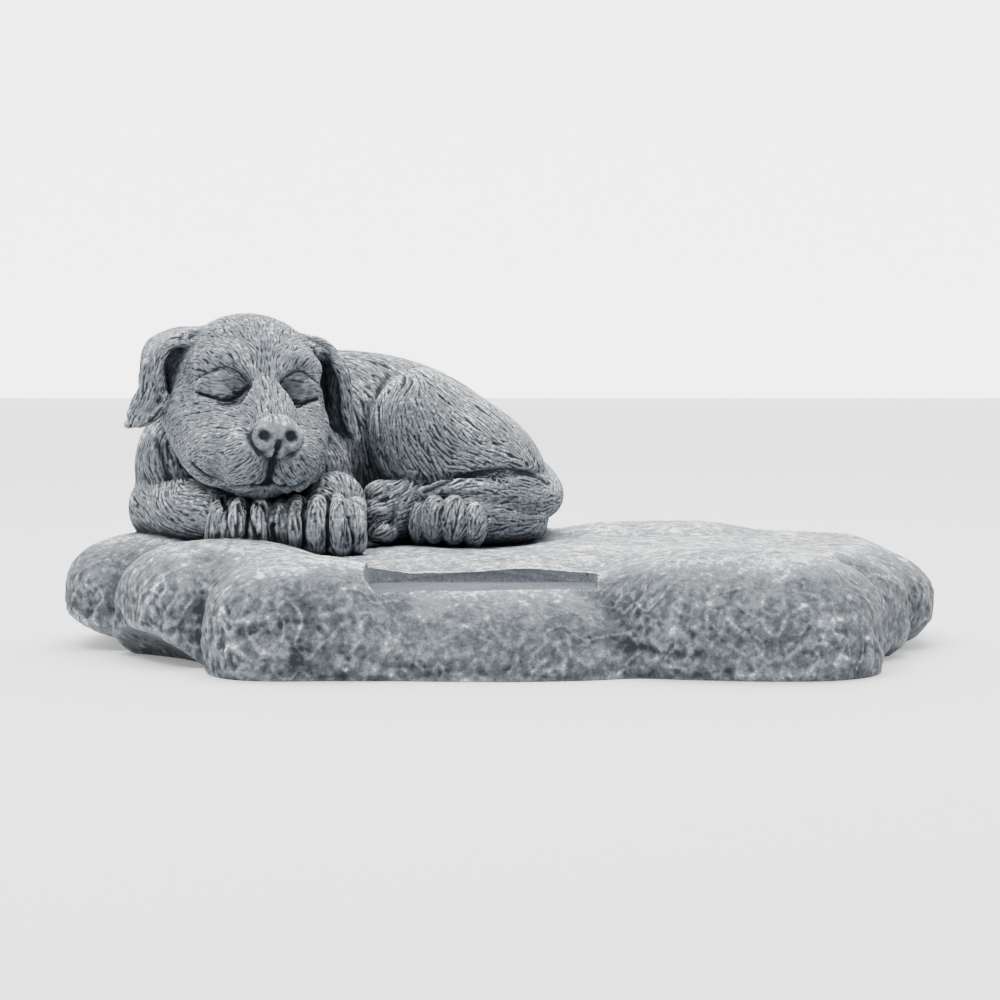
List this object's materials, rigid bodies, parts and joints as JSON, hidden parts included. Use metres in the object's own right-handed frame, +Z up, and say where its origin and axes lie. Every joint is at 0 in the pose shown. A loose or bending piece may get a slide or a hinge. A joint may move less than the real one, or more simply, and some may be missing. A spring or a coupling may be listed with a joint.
{
  "type": "pet memorial statue",
  "caption": "Sleeping dog curled on a rough stone base, cast in one piece, with a shallow rectangular recess in the front of the stone, open towards the rim.",
  "frame": {"origin": "on the flat underside, under the middle of the stone's outline", "axes": "+X along the stone, away from the dog's head; -Y towards the front; +Z up"},
  "size_m": [0.25, 0.1726, 0.0951],
  "materials": {
    "weathered_grey_resin": "matt cast stone resin, dark wash in the hollows and pale dry brushing on the ridges"
  },
  "bodies": {
    "root": {"memorial_statue": "weathered_grey_resin"}
  },
  "joints": []
}
